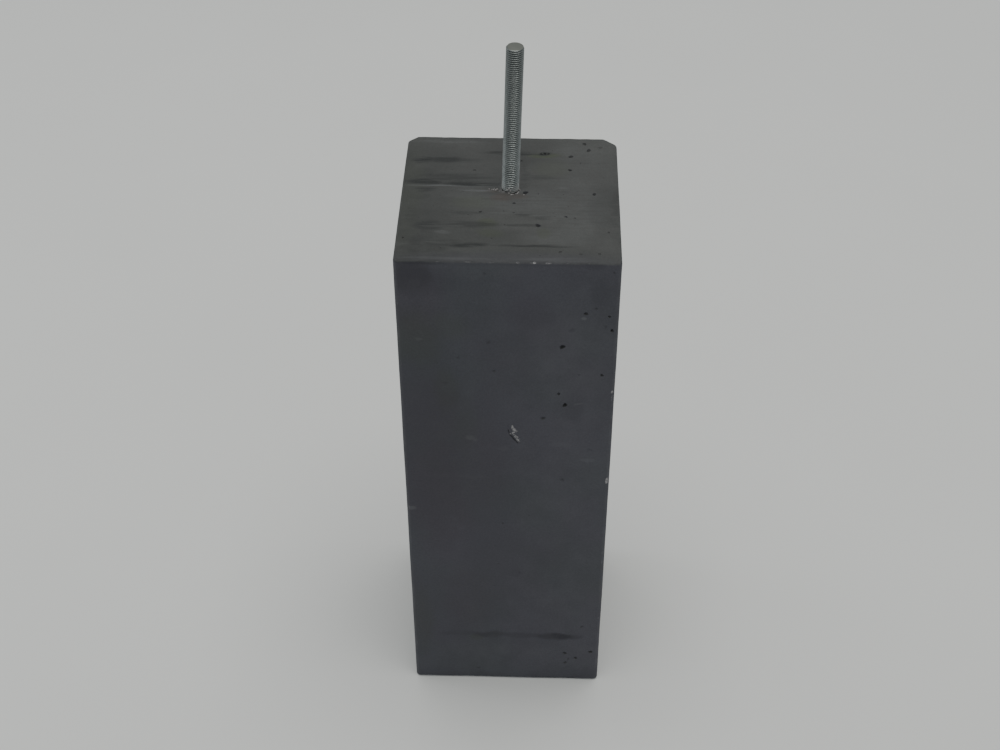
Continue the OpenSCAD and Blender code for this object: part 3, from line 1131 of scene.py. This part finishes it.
class RodShape:
    """A right-handed thread as strands that wind up the rod, one for each point of the profile"""

    CREST_SHARP = math.radians(33)
    # Vertices closer than this are one
    JOIN = 0.001

    def __init__(self, rod, foot, way):
        self.radius = rod.diameter / MM / 2
        self.pitch = rod.pitch / MM
        self.low = -rod.cast_length / MM
        self.high = rod.free_length / MM
        self.chamfer = rod.end_chamfer / MM
        self.steps = rod.steps
        self.foot = foot
        self.way = way

    def point(self, strand, step):
        """Where a strand is, some steps round from the rod's lower end"""
        share, drop = THREAD_PROFILE[strand]
        along = self.low + self.pitch * (step / self.steps + share)
        along = min(max(along, self.low), self.high)
        radius = self.radius - drop * THREAD_DEPTH * self.pitch
        for end in (along - self.low, self.high - along):
            radius = min(radius, self.radius - self.chamfer + end)
        angle = 2 * math.pi * step / self.steps
        return radius * math.cos(angle), radius * math.sin(angle), along

    def build(self, name):
        """The rod as a new object"""
        turns = math.ceil((self.high - self.low) / self.pitch) + 2
        total = turns * self.steps
        strands = len(THREAD_PROFILE)
        first = -self.steps
        points = [self.point(s, k) for k in range(first, total + 1) for s in range(strands)]
        faces = []
        for k in range(total - first):
            for s in range(strands):
                a, b = k * strands + s, k * strands + s + 1
                if s == strands - 1:
                    b = (k + self.steps) * strands
                quad = (a, a + strands, b + strands, b)
                if max(quad) < len(points) and len({round(points[i][2], 6) for i in quad}) > 1:
                    faces.append(quad)
        return self.closed(name, points, faces)

    def closed(self, name, points, faces):
        """Joins the strands, closes both ends and puts the rod in its place"""
        work = bmesh.new()
        made = [work.verts.new(p) for p in points]
        for quad in faces:
            work.faces.new([made[i] for i in quad])
        bmesh.ops.delete(work, geom=[v for v in work.verts if not v.link_faces], context="VERTS")
        bmesh.ops.remove_doubles(work, verts=work.verts, dist=self.JOIN)
        bmesh.ops.dissolve_degenerate(work, edges=work.edges, dist=self.JOIN / 2)
        for end in (self.low, self.high):
            open_edges = [e for e in work.edges if e.is_boundary]
            rim = [e for e in open_edges if abs(e.verts[0].co.z - end) < 10 * self.JOIN]
            bmesh.ops.contextual_create(work, geom=rim)
        bmesh.ops.recalc_face_normals(work, faces=work.faces)
        turn = Vector((0, 0, 1)).rotation_difference(Vector(self.way)).to_matrix().to_4x4()
        placed = Matrix.Scale(MM, 4) @ Matrix.Translation(Vector(self.foot)) @ turn
        self.mark(work)
        bmesh.ops.transform(work, matrix=placed, verts=work.verts)
        mesh = bpy.data.meshes.new(name)
        work.to_mesh(mesh)
        work.free()
        return smooth_object(mesh, self.CREST_SHARP)

    def mark(self, work):
        """Notes how deep in the thread and how far along the rod each vertex is, for the finish"""
        depth = work.verts.layers.float.new("root")
        along = work.verts.layers.float.new("along")
        for vertex in work.verts:
            reach = math.hypot(vertex.co.x, vertex.co.y)
            vertex[depth] = (self.radius - reach) / (THREAD_DEPTH * self.pitch)
            vertex[along] = vertex.co.z * MM


# A crumb's ball over its size, and the least and most that it is stretched each way
CRUMB_BALL = 0.62
CRUMB_STRETCH = ((1.0, 1.7), (0.7, 1.0), (0.5, 0.8))


def crumb_mesh(foot, seed):
    """Vertices and faces of all the cement crumbs, in millimetres"""
    rand = random.Random(seed)
    vertices, faces = [], []
    for right, behind, above, size in CRUMBS:
        ball = bmesh.new()
        bmesh.ops.create_icosphere(ball, subdivisions=3, radius=CRUMB_BALL * size)
        key = Vector([rand.uniform(0, 50) for _ in range(3)])
        stretch = Matrix.Diagonal([rand.uniform(low, high) for low, high in CRUMB_STRETCH])
        shape = Matrix.Rotation(rand.uniform(-0.9, 0.9), 3, "Z") @ stretch
        start = len(vertices)
        for vertex in ball.verts:
            way = vertex.co.normalized()
            lumpy = 1 + 0.45 * noise.noise(way * 1.4 + key) + 0.2 * noise.noise(way * 3.6 + key)
            place = Vector(foot) + Vector((right, behind, above)) + shape @ (vertex.co * lumpy)
            vertices.append(tuple(place))
        faces += [[start + v.index for v in face.verts] for face in ball.faces]
        ball.free()
    return vertices, faces


# ---- Materials -----------------------------------------------------------------------------------

class Nodes:
    """A node tree, with short ways to add to it"""

    # Sockets of the Mix node that take and give colours
    MIX_A = 6
    MIX_B = 7
    MIX_RESULT = 2

    def __init__(self, tree):
        self.tree = tree

    def add(self, kind, **settings):
        """A new node"""
        node = self.tree.nodes.new(kind)
        for key, value in settings.items():
            setattr(node, key, value)
        return node

    def feed(self, socket, value):
        """Links a socket to another, or sets its number or colour"""
        if isinstance(value, bpy.types.NodeSocket):
            self.tree.links.new(value, socket)
        elif socket.type == "RGBA":
            socket.default_value = (*value, 1.0)
        else:
            socket.default_value = value

    def calc(self, operation, a, b, kind="ShaderNodeMath"):
        """One operation on two values"""
        node = self.add(kind, operation=operation)
        self.feed(node.inputs[0], a)
        self.feed(node.inputs[1], b)
        return node.outputs[0]

    def vectors(self, operation, a, b):
        """One operation on two vectors"""
        return self.calc(operation, a, b, "ShaderNodeVectorMath")

    def plus(self, a, b):
        """The sum of two values"""
        return self.calc("ADD", a, b)

    def times(self, a, b):
        """The product of two values"""
        return self.calc("MULTIPLY", a, b)

    def higher(self, a, b):
        """The higher of two values"""
        return self.calc("MAXIMUM", a, b)

    def blend(self, share, a, b, mode="MIX"):
        """Colour a where share is 0, and colour b where it is 1"""
        node = self.add("ShaderNodeMix", data_type="RGBA", blend_type=mode)
        self.feed(node.inputs[0], share)
        self.feed(node.inputs[self.MIX_A], a)
        self.feed(node.inputs[self.MIX_B], b)
        return node.outputs[self.MIX_RESULT]

    def ramp(self, value, low, high, to_low=0.0, to_high=1.0):
        """A smooth step from to_low, where value is low, to to_high, where it is high"""
        node = self.add("ShaderNodeMapRange", interpolation_type="SMOOTHSTEP")
        for socket, v in zip(node.inputs, (value, low, high, to_low, to_high)):
            self.feed(socket, v)
        return node.outputs[0]


class Finish(Nodes):
    """A material and its node tree"""

    def __init__(self, name):
        self.material = bpy.data.materials.new(name)
        self.material.use_nodes = True
        super().__init__(self.material.node_tree)
        self.tree.nodes.clear()
        self.place = self.add("ShaderNodeTexCoord").outputs["Object"]
        self.normal = self.add("ShaderNodeNewGeometry").outputs["Normal"]

    def mottled(self, value, colour, share, low=0.3):
        """A colour, down to a share of it where value is low"""
        return self.blend(self.ramp(value, low, 0.7), darker(colour, share), colour)

    def stretched(self, scale, vector=None):
        """Coordinates times a scale"""
        return self.vectors("MULTIPLY", vector or self.place, scale)

    def noise(self, scale, detail=3.0, roughness=0.5, vector=None, output="Fac"):
        """Noise of about so many cells to the metre"""
        node = self.add("ShaderNodeTexNoise")
        self.feed(node.inputs["Vector"], vector or self.place)
        self.feed(node.inputs["Scale"], scale)
        self.feed(node.inputs["Detail"], detail)
        self.feed(node.inputs["Roughness"], roughness)
        return node.outputs[output]

    def attribute(self, name):
        """A number that the mesh carries"""
        return self.add("ShaderNodeAttribute", attribute_name=name).outputs["Fac"]

    def ragged(self, vector, scale, reach):
        """Coordinates shaken by noise, so that what is drawn on them has uneven edges"""
        shake = self.noise(scale, detail=4.0, roughness=0.6, vector=vector, output="Color")
        either_way = self.vectors("SUBTRACT", shake, (0.5, 0.5, 0.5))
        return self.vectors("ADD", vector, self.stretched((reach, reach, reach), either_way))

    def surface(self, colour, roughness, height, depth, **others):
        """Ends the tree in a Principled shader with bumps; others are more of its sockets"""
        bump = self.add("ShaderNodeBump")
        self.feed(bump.inputs["Height"], height)
        bump.inputs["Distance"].default_value = depth
        shader = self.add("ShaderNodeBsdfPrincipled")
        self.feed(shader.inputs["Base Color"], colour)
        self.feed(shader.inputs["Roughness"], roughness)
        self.feed(shader.inputs["Normal"], bump.outputs[0])
        for name, value in others.items():
            self.feed(shader.inputs[name.replace("_", " ")], value)
        end = self.add("ShaderNodeOutputMaterial")
        self.tree.links.new(shader.outputs[0], end.inputs[0])
        return self.material


def darker(colour, share):
    """A share of a colour"""
    return tuple(share * c for c in colour)


# How deep a stain reaches into its face
STAIN_DEPTH = 5 * MM
# A stain fades away between these shares of its half size
STAIN_FADE = (1.15, 0.4)


def stain_box(face, mark, block):
    """A stain's centre and half sizes, in metres"""
    w, d = block.width / 2, block.depth / 2
    across, down = mark.across * MM, block.height - mark.along * MM
    centre = {
        "top": (across, mark.along * MM, block.height),
        "front": (across, -d, down),
        "back": (across, d, down),
        "left": (-w, across, down),
        "right": (w, across, down),
    }[face]
    wide, tall = mark.wide * MM, mark.long * MM
    if face == "top":
        return Vector(centre), Vector((wide, tall, STAIN_DEPTH))
    if face in ("front", "back"):
        return Vector(centre), Vector((wide, STAIN_DEPTH, tall))
    return Vector(centre), Vector((STAIN_DEPTH, wide, tall))


def stain_group():
    """A soft-edged patch: its strength at the middle, down to nothing near its half size"""
    name = "soft_patch"
    if name in bpy.data.node_groups:
        return bpy.data.node_groups[name]
    tree = bpy.data.node_groups.new(name, "ShaderNodeTree")
    for label in ("Place", "Centre", "Half size"):
        tree.interface.new_socket(label, in_out="INPUT", socket_type="NodeSocketVector")
    tree.interface.new_socket("Strength", in_out="INPUT", socket_type="NodeSocketFloat")
    tree.interface.new_socket("Cover", in_out="OUTPUT", socket_type="NodeSocketFloat")
    nodes = Nodes(tree)
    given = nodes.add("NodeGroupInput").outputs
    off = nodes.vectors("SUBTRACT", given["Place"], given["Centre"])
    share = nodes.vectors("DIVIDE", off, given["Half size"])
    reach = nodes.add("ShaderNodeVectorMath", operation="LENGTH")
    nodes.feed(reach.inputs[0], share)
    cover = nodes.ramp(reach.outputs["Value"], *STAIN_FADE, 0.0, given["Strength"])
    nodes.feed(nodes.add("NodeGroupOutput").inputs["Cover"], cover)
    return tree


class ConcreteFinish(Finish):
    """Smooth anthracite concrete with clouds, streaks, stains, bloom, pores and broken edges"""

    # The trowel drew the edges of the top's stains out from left to right, to 1 over this
    DRAWN = 0.35
    # Multiplied into the tall faces where their hue is low and where it is high
    LOW_HUE = (0.98, 1.0, 0.99)
    HIGH_HUE = (1.025, 0.988, 1.02)
    # Colour of the painted dust and shade in pores, and of the painted shade in the scratch's side
    # groove and the rod's hole
    DUST_AND_SHADE_COLOUR = (0.008, 0.008, 0.009)

    def __init__(self, block):
        super().__init__("cast_concrete")
        self.block = block
        up = self.add("ShaderNodeSeparateXYZ")
        self.feed(up.inputs[0], self.normal)
        self.on_top = self.ramp(up.outputs["Z"], 0.2, 0.7)
        # Unevenness of several sizes, some of it drawn out by the trowel
        self.clouds = self.noise(9.0, detail=4.0, roughness=0.5)
        self.patches = self.noise(42.0, detail=4.0, roughness=0.6)
        self.hue = self.noise(13.0, detail=2.0, vector=self.stretched((1.0, 1.0, 0.7)))
        self.grain = self.noise(1500.0, detail=2.0, roughness=0.7)
        self.speckle = self.noise(420.0, detail=3.0, roughness=0.7)
        lengthways = self.stretched((1.0, 5.0, 1.0))
        self.trowel = self.noise(8.0, detail=3.0, roughness=0.5, vector=lengthways)
        lengthways = self.stretched((1.0, 10.0, 1.0))
        self.wisps = self.noise(26.0, detail=3.0, roughness=0.6, vector=lengthways)
        self.places = {"top": self.smeared(), "rest": self.ragged(self.place, 45.0, 0.011)}
        self.dark = self.cover(DARK)
        self.fresh = self.attribute("fresh")

    def smeared(self):
        """Coordinates that give the top's stains ragged edges, drawn out by the trowel"""
        drawn = self.ragged(self.stretched((self.DRAWN, 1.0, 1.0)), 55.0, 0.008)
        return self.stretched((1 / self.DRAWN, 1.0, 1.0), drawn)

    def cover(self, stains):
        """How strongly stains cover each place on the block"""
        cover = None
        for face, marks in stains.items():
            for mark in marks:
                centre, half = stain_box(face, mark, self.block)
                node = self.add("ShaderNodeGroup", node_tree=stain_group())
                self.feed(node.inputs["Place"], self.places.get(face, self.places["rest"]))
                node.inputs["Centre"].default_value = centre
                node.inputs["Half size"].default_value = half
                node.inputs["Strength"].default_value = mark.strength
                patch = node.outputs["Cover"]
                cover = patch if cover is None else self.higher(cover, patch)
        return cover

    def plain(self):
        """Colour of the tall faces and the top before they are stained, cloudy and sandy"""
        block = self.block
        tint = self.blend(self.ramp(self.hue, 0.35, 0.65), self.LOW_HUE, self.HIGH_HUE)
        body = self.blend(1.0, block.concrete, tint, "MULTIPLY")
        body = self.blend(self.cover(PLUM), body, block.plum)
        lid = self.mottled(self.trowel, block.top_concrete, 0.88)
        lid = self.blend(self.cover(FORMED), lid, block.formed)
        shade = self.plus(self.times(self.clouds, 0.7), self.times(self.patches, 0.3))
        shade = self.ramp(shade, 0.36, 0.66, 0.88, 1.1)
        fine = self.ramp(self.speckle, 0.3, 0.7, 0.94, 1.06)
        sand = self.ramp(self.grain, 0.25, 0.75, 0.92, 1.08)
        shade = self.times(self.times(shade, fine), sand)
        grey = self.add("ShaderNodeCombineColor")
        for socket in grey.inputs:
            self.feed(socket, shade)
        return self.blend(1.0, self.blend(self.on_top, body, lid), grey.outputs[0], "MULTIPLY")

    def stained(self, colour):
        """A colour under stains that patches break up, and wisps on the top"""
        block = self.block
        patchy = self.ramp(self.patches, 0.3, 0.62, 0.6, 1.0)
        strong = self.blend(self.on_top, patchy, self.ramp(self.wisps, 0.36, 0.54, 0.35, 1.0))
        damp = self.blend(self.on_top, block.side_damp, block.damp)
        colour = self.blend(self.times(self.cover(SHADE), patchy), colour, block.damp)
        # Lime bloom and scraped lines, and the painted highlight along the front rim of the top
        colour = self.blend(self.times(self.cover(PALE), strong), colour, block.bloom_and_highlight)
        colour = self.blend(self.times(self.cover(OLIVE), 0.8), colour, block.olive)
        colour = self.blend(self.times(self.dark, strong), colour, damp)
        return self.blend(self.times(self.cover(RUST), patchy), colour, block.rust)

    def broken(self, colour):
        """A colour with rubbed edges, painted dust and shade in pores, grooves and the rod's hole, and
        fresh breaks
        """
        edge = self.times(self.attribute("edge"), self.ramp(self.patches, 0.4, 0.65, 0.0, 0.12))
        colour = self.blend(edge, colour, self.block.bloom_and_highlight)
        # Painted dust and shade in pores, painted shade in the scratch's side groove and the rod's hole
        colour = self.blend(self.times(self.attribute("hollow"), 0.75), colour, self.DUST_AND_SHADE_COLOUR)
        return self.blend(self.fresh, colour, self.mottled(self.grain, self.block.fresh, 0.5))

    def build(self):
        """The finished material"""
        colour = self.broken(self.stained(self.plain()))
        drier = self.plus(self.clouds, self.times(self.dark, -0.5))
        roughness = self.ramp(drier, 0.0, 0.8, 0.58, 0.86)
        roughness = self.higher(roughness, self.times(self.fresh, 0.95))
        height = self.plus(self.times(self.grain, 0.5), self.speckle)
        height = self.plus(height, self.times(self.times(self.trowel, self.on_top), 0.5))
        return self.surface(colour, roughness, height, 0.00025, Specular_IOR_Level=0.4)


def zinc_finish(rod):
    """Dull zinc plating: dark in the thread's roots, sawn at the end, cement and rust at the foot"""
    f = Finish("zinc_plating")
    root = f.attribute("root")
    along = f.attribute("along")
    clouds = f.noise(60.0, detail=4.0, roughness=0.6)
    spots = f.noise(700.0, detail=3.0, roughness=0.7)
    colour = f.mottled(clouds, rod.zinc, 0.8, low=0.35)
    worn = f.ramp(along, 0.0, rod.free_length)
    colour = f.blend(worn, colour, darker(rod.zinc, 0.62))
    colour = f.blend(f.ramp(root, 0.2, 1.0, 0.0, 0.5), colour, rod.tarnish)
    colour = f.blend(f.ramp(spots, 0.55, 0.75, 0.0, 0.5), colour, rod.tarnish)
    # Cement and rust at the foot, up to an uneven height
    low = f.plus(along, f.times(f.plus(clouds, -0.5), 0.012))
    foot = f.times(f.ramp(low, 0.011, 0.0005), f.ramp(along, -0.0005, 0.0005))
    colour = f.blend(f.times(foot, f.ramp(spots, 0.46, 0.58)), colour, rod.cement)
    rust = f.times(f.ramp(low, 0.002, -0.001), f.ramp(clouds, 0.4, 0.6, 0.0, 0.4))
    colour = f.blend(rust, colour, rod.rust)
    # Painted shade on the part in the block's hole, below its top, and sawn at the free end
    colour = f.blend(f.ramp(along, 0.0004, -0.0008), colour, (0.02, 0.02, 0.02))
    sawn = f.ramp(along, rod.free_length - 0.0002, rod.free_length - 0.0001)
    colour = f.blend(sawn, colour, rod.sawn)
    roughness = f.plus(f.ramp(clouds, 0.3, 0.7, 0.19, 0.31), f.times(root, 0.12))
    roughness = f.plus(roughness, f.times(worn, 0.12))
    roughness = f.higher(roughness, f.times(f.higher(foot, sawn), 0.7))
    metal = f.ramp(foot, 0.0, 1.0, 0.95, 0.2)
    return f.surface(colour, roughness, spots, 0.00006, Metallic=metal)


def crumb_finish(block):
    """Pale crumbled cement"""
    f = Finish("crumbled_cement")
    grain = f.noise(1300.0, detail=4.0, roughness=0.7)
    patches = f.noise(260.0, detail=2.0)
    colour = f.mottled(grain, block.crumbled, 0.5)
    colour = f.blend(f.ramp(patches, 0.5, 0.75, 0.0, 0.8), colour, block.bloom_and_highlight)
    return f.surface(colour, f.ramp(grain, 0.2, 0.8, 0.8, 0.95), grain, 0.0003)


def floor_finish(studio):
    """Plain pale matt floor"""
    f = Finish("plain_floor")
    faint = f.noise(3.0, detail=3.0)
    colour = f.mottled(faint, studio.floor_colour, 0.985)
    roughness = f.ramp(faint, 0.0, 1.0, 0.85, 0.95)
    return f.surface(colour, roughness, faint, 0.00001, Specular_IOR_Level=0.2)


# ---- Operators -----------------------------------------------------------------------------------

class COLUMNBASE_OT_make_block(bpy.types.Operator):
    """Make the cast concrete block with its pores, chips and stains"""

    bl_idname = "columnbase.make_block"
    bl_label = "Concrete block"

    def execute(self, context):
        settings = context.scene.column_base
        foot, way = rod_axis()
        shape = BlockShape(settings.block, settings.rod, foot, way)
        vertices, faces, hollow, fresh, edge = shape.worn()
        piece = mesh_object("concrete_block", vertices, faces, shape.FACE_SHARP)
        # Painted dust and shade, for the finish to read
        write_attribute(piece, "hollow", hollow)
        write_attribute(piece, "fresh", fresh)
        write_attribute(piece, "edge", edge)
        piece.data.materials.append(ConcreteFinish(settings.block).build())
        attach(piece, "root")
        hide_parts("block")
        return {"FINISHED"}


class COLUMNBASE_OT_make_rod(bpy.types.Operator):
    """Make the zinc-plated threaded rod"""

    bl_idname = "columnbase.make_rod"
    bl_label = "Threaded rod"

    def execute(self, context):
        settings = context.scene.column_base
        foot, way = rod_axis()
        piece = RodShape(settings.rod, foot, way).build("zinc_threaded_rod")
        piece.data.materials.append(zinc_finish(settings.rod))
        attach(piece, "root")
        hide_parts("threaded_rod")
        return {"FINISHED"}


class COLUMNBASE_OT_make_crumbs(bpy.types.Operator):
    """Make the cement crumbs round the rod's foot"""

    bl_idname = "columnbase.make_crumbs"
    bl_label = "Cement crumbs"

    def execute(self, context):
        settings = context.scene.column_base
        vertices, faces = crumb_mesh(rod_axis()[0], settings.block.seed)
        piece = mesh_object("cement_crumbs", vertices, faces)
        piece.data.materials.append(crumb_finish(settings.block))
        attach(piece, "root")
        return {"FINISHED"}


class COLUMNBASE_OT_make_studio(bpy.types.Operator):
    """Make the floor, the lights and the camera"""

    bl_idname = "columnbase.make_studio"
    bl_label = "Studio"

    def execute(self, context):
        studio = context.scene.column_base.studio
        self.make_floor(studio)
        self.make_world(context.scene, studio)
        self.make_lamp(OVERHEAD_LAMP, studio.key_light)
        self.make_lamp(LEFT_LAMP, studio.fill_light)
        self.make_camera(context.scene, studio)
        return {"FINISHED"}

    def make_floor(self, studio):
        """A square floor under the block"""
        half = studio.floor_size / MM / 2
        corners = [(-half, -half, 0), (half, -half, 0), (half, half, 0), (-half, half, 0)]
        floor = mesh_object("studio_floor", corners, [(0, 1, 2, 3)])
        floor.data.materials.append(floor_finish(studio))

    def make_world(self, scene, studio):
        """Even light from all round"""
        world = bpy.data.worlds.new("studio_world")
        world.use_nodes = True
        back = world.node_tree.nodes["Background"]
        back.inputs["Color"].default_value = SKY_TINT
        back.inputs["Strength"].default_value = studio.world_light
        scene.world = world

    def make_lamp(self, panel, power):
        """A panel of light that faces the middle of the block"""
        lamp = bpy.data.lights.new(panel.name, "AREA")
        lamp.shape = "RECTANGLE"
        lamp.size, lamp.size_y = panel.size
        lamp.energy = power
        lamp.color = panel.tint
        piece = bpy.data.objects.new(panel.name, lamp)
        place = Vector(panel.place)
        target = Vector((0, 0, (BLOCK_LOW.z + BLOCK_HIGH.z) / 2))
        piece.location = place
        piece.rotation_euler = (target - place).to_track_quat("-Z", "Y").to_euler()
        bpy.context.scene.collection.objects.link(piece)

    def make_camera(self, scene, studio):
        """The camera in front of the block, turned by its pitch, yaw and roll"""
        data = bpy.data.cameras.new("studio_camera")
        data.lens = studio.lens
        data.clip_end = 50.0
        camera = bpy.data.objects.new("studio_camera", data)
        ahead = Vector((
            -math.sin(studio.yaw) * math.cos(studio.pitch),
            math.cos(studio.yaw) * math.cos(studio.pitch),
            -math.sin(studio.pitch),
        ))
        right = Vector((math.cos(studio.yaw), math.sin(studio.yaw), 0))
        over = right.cross(ahead)
        level_right = right * math.cos(studio.roll) + over * math.sin(studio.roll)
        level_up = over * math.cos(studio.roll) - right * math.sin(studio.roll)
        turn = Matrix((level_right, level_up, -ahead)).transposed()
        place = Vector((
            studio.camera_right,
            BLOCK_LOW.y - studio.camera_back,
            BLOCK_HIGH.z + studio.camera_rise,
        ))
        camera.matrix_world = Matrix.Translation(place) @ turn.to_4x4()
        scene.collection.objects.link(camera)
        scene.camera = camera


class COLUMNBASE_PT_panel(bpy.types.Panel):
    """Sizes, colours and buttons of the column base block"""

    bl_idname = "COLUMNBASE_PT_panel"
    bl_label = "Column base block"
    bl_space_type = "VIEW_3D"
    bl_region_type = "UI"
    bl_category = "Column base"

    def draw(self, context):
        settings = context.scene.column_base
        for group in (settings.block, settings.rod, settings.studio):
            box = self.layout.box()
            for name in group.__annotations__:
                box.prop(group, name)
        for operator in OPERATORS:
            self.layout.operator(operator.bl_idname)


OPERATORS = (
    COLUMNBASE_OT_make_studio,
    COLUMNBASE_OT_make_block,
    COLUMNBASE_OT_make_rod,
    COLUMNBASE_OT_make_crumbs,
)
SETTINGS = (BlockSettings, RodSettings, StudioSettings, ColumnBaseSettings)
CLASSES = (*SETTINGS, *OPERATORS, COLUMNBASE_PT_panel)


def register():
    for item in CLASSES:
        bpy.utils.register_class(item)
    bpy.types.Scene.column_base = PointerProperty(type=ColumnBaseSettings)


def unregister():
    del bpy.types.Scene.column_base
    for item in reversed(CLASSES):
        bpy.utils.unregister_class(item)


def main():
    """Makes the whole scene"""
    register()
    bpy.ops.columnbase.make_studio()
    bpy.ops.columnbase.make_block()
    bpy.ops.columnbase.make_rod()
    bpy.ops.columnbase.make_crumbs()


if __name__ == "__main__":
    main()
